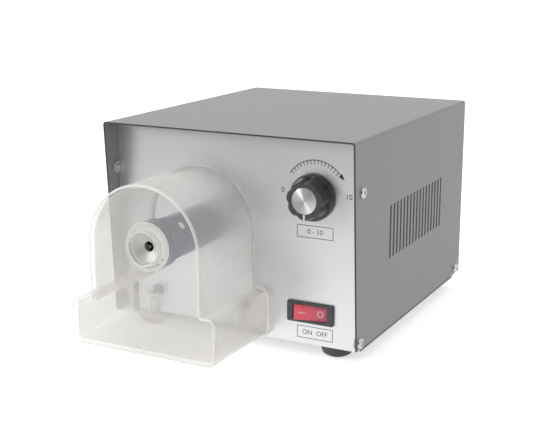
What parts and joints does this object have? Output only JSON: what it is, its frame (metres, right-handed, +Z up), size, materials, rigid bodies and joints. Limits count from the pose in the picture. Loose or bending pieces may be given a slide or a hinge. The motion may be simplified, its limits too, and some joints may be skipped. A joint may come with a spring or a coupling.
{
  "type": "enamelled wire stripping machine",
  "caption": "Bench machine that scrapes enamel off wire ends: grey box, clear arched guard over a turning cutter head with a scroll dial, speed knob, rocker switch.",
  "frame": {"origin": "on the bench under the middle of the whole machine", "axes": "+Z up, -Y out of the front panel towards the operator, +X to the operator's right"},
  "size_m": [0.18, 0.2606, 0.1396],
  "materials": {
    "case_paint": "grey baked enamel, fine texture",
    "panel_aluminium": "brushed and clear anodised",
    "zinc_sheet": "bright zinc plate",
    "zinc_screw": "bright zinc plate",
    "clear_guard": "clear, slightly milky moulded plastic",
    "blued_steel": "blued and oiled",
    "bright_aluminium": "fine turned",
    "hard_steel": "ground",
    "dark_plastic": "satin moulded",
    "white_paint": "filled line",
    "rocker_red": "translucent, lit from inside when on",
    "foot_rubber": "matt",
    "motor_paint": "black enamel",
    "cast_bell": "as cast",
    "plain_steel": "turned",
    "ferrite": "sintered",
    "copper": "enamelled copper",
    "carbon": "pressed carbon",
    "tin_brass": "tinned",
    "board_green": "solder mask",
    "blue_film": "dipped",
    "block_green": "moulded"
  },
  "bodies": {
    "case": {"cover": "case_paint", "cover_screws": "zinc_screw", "chassis": "zinc_sheet", "front_panel": "panel_aluminium", "rubber_feet": "foot_rubber", "foot_screws": "zinc_screw", "foot_nuts": "zinc_screw", "guard": "clear_guard", "guard_screws": "zinc_screw", "motor_bracket": "zinc_sheet", "bracket_screws": "zinc_screw", "motor_screws": "zinc_screw", "motor_front_bell": "cast_bell", "motor_can": "motor_paint", "motor_rear_bell": "cast_bell", "bearing_outer_rings": "plain_steel", "motor_magnets": "ferrite", "carbon_brushes": "carbon", "brush_holders": "dark_plastic", "potentiometer": "zinc_sheet", "potentiometer_washer": "zinc_screw", "potentiometer_nut": "zinc_screw", "switch_housing": "dark_plastic", "switch_terminals": "tin_brass", "control_board": "board_green", "board_posts": "tin_brass", "board_screws": "zinc_screw", "heat_sink": "cast_bell", "sink_screws": "zinc_screw", "capacitors": "blue_film", "choke_coil": "copper", "terminal_block": "block_green", "power_device": "dark_plastic", "fuse_holder": "dark_plastic", "fuse_cap": "dark_plastic", "fuse_nut": "dark_plastic", "cord_bushing": "dark_plastic"},
    "head": {"head_body": "blued_steel", "head_clamp_screws": "hard_steel", "spindle": "plain_steel", "spindle_screws": "hard_steel", "motor_shaft": "plain_steel", "armature_core": "plain_steel", "armature_windings": "copper", "commutator": "copper", "bearing_inner_rings": "plain_steel", "cooling_fan": "dark_plastic"},
    "dial": {"dial_plate": "bright_aluminium", "dial_ring": "blued_steel", "wire_funnel": "bright_aluminium", "dial_lock_screws": "hard_steel"},
    "blade_1": {"blade_1": "hard_steel"},
    "blade_2": {"blade_2": "hard_steel"},
    "blade_3": {"blade_3": "hard_steel"},
    "knob": {"speed_knob": "dark_plastic", "knob_disc": "bright_aluminium", "knob_pointer": "white_paint", "knob_set_screw": "hard_steel", "potentiometer_shaft": "plain_steel"},
    "rocker": {"switch_rocker": "rocker_red"}
  },
  "joints": [
    {"name": "head_spin", "type": "hinge", "parent": "case", "child": "head", "pos_m": [-0.0232, -0.12455, 0.0759], "axis": [0, 1, 0], "continuous": true},
    {"name": "dial_turn", "type": "hinge", "parent": "head", "child": "dial", "pos_m": [-0.0232, -0.12455, 0.0759], "axis": [0, 1, 0], "range_deg": [-40, 70]},
    {"name": "blade_1_slide", "type": "slide", "parent": "head", "child": "blade_1", "axis": [0, 0, 1], "range_m": [-0.00081, 0.00141]},
    {"name": "blade_2_slide", "type": "slide", "parent": "head", "child": "blade_2", "axis": [-0.866, 0, -0.5], "range_m": [-0.00081, 0.00141]},
    {"name": "blade_3_slide", "type": "slide", "parent": "head", "child": "blade_3", "axis": [0.866, 0, -0.5], "range_m": [-0.00081, 0.00141]},
    {"name": "knob_turn", "type": "hinge", "parent": "case", "child": "knob", "pos_m": [0.0549, -0.06055, 0.1017], "axis": [0, 1, 0], "range_deg": [0, 300]},
    {"name": "rocker_tilt", "type": "hinge", "parent": "case", "child": "rocker", "pos_m": [0.0541, -0.05855, 0.0281], "axis": [0, 0, 1], "range_deg": [-18, 0]}
  ],
  "couplings": [
    {"joint": "blade_1_slide", "follows": "dial_turn", "m_per_rad": 0.0011459},
    {"joint": "blade_2_slide", "follows": "dial_turn", "m_per_rad": 0.0011459},
    {"joint": "blade_3_slide", "follows": "dial_turn", "m_per_rad": 0.0011459}
  ]
}
